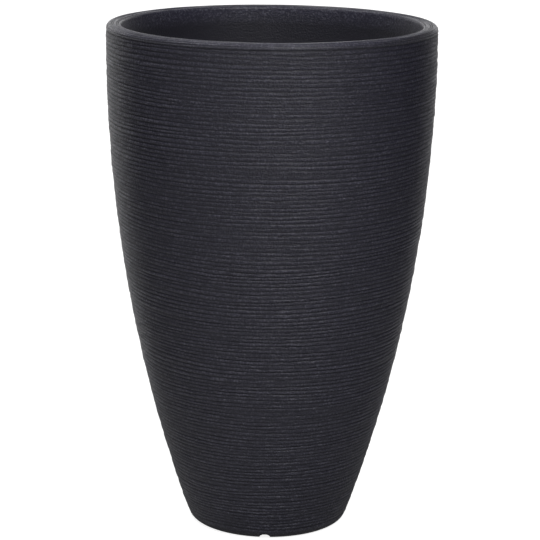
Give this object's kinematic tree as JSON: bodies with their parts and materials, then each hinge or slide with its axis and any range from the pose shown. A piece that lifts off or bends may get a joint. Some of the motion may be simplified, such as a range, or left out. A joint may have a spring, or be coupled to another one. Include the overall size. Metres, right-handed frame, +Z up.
{
  "type": "flower pot",
  "caption": "Tall round floor planter with a ribbed tapering shell, a lift-out planting liner whose broad rim caps it, and a plugged drain in its floor.",
  "frame": {"origin": "on the ground at the middle of the foot ring", "axes": "+Z up along the pot's axis; -Y is the front, where one drainage notch opens"},
  "size_m": [0.385, 0.385, 0.6],
  "materials": {
    "shell_plastic": "matte moulded, ribbed",
    "liner_plastic": "matte moulded, fine grain",
    "plug_rubber": "soft matte"
  },
  "bodies": {
    "shell": {"outer_shell": "shell_plastic"},
    "liner": {"planting_liner": "liner_plastic"},
    "plug": {"drain_plug": "plug_rubber"}
  },
  "joints": [
    {"name": "liner_lift", "type": "slide", "parent": "shell", "child": "liner", "axis": [0, 0, 1], "range_m": [0, 0.36]},
    {"name": "plug_pull", "type": "slide", "parent": "shell", "child": "plug", "axis": [0, 0, 1], "range_m": [0, 0.04]}
  ]
}
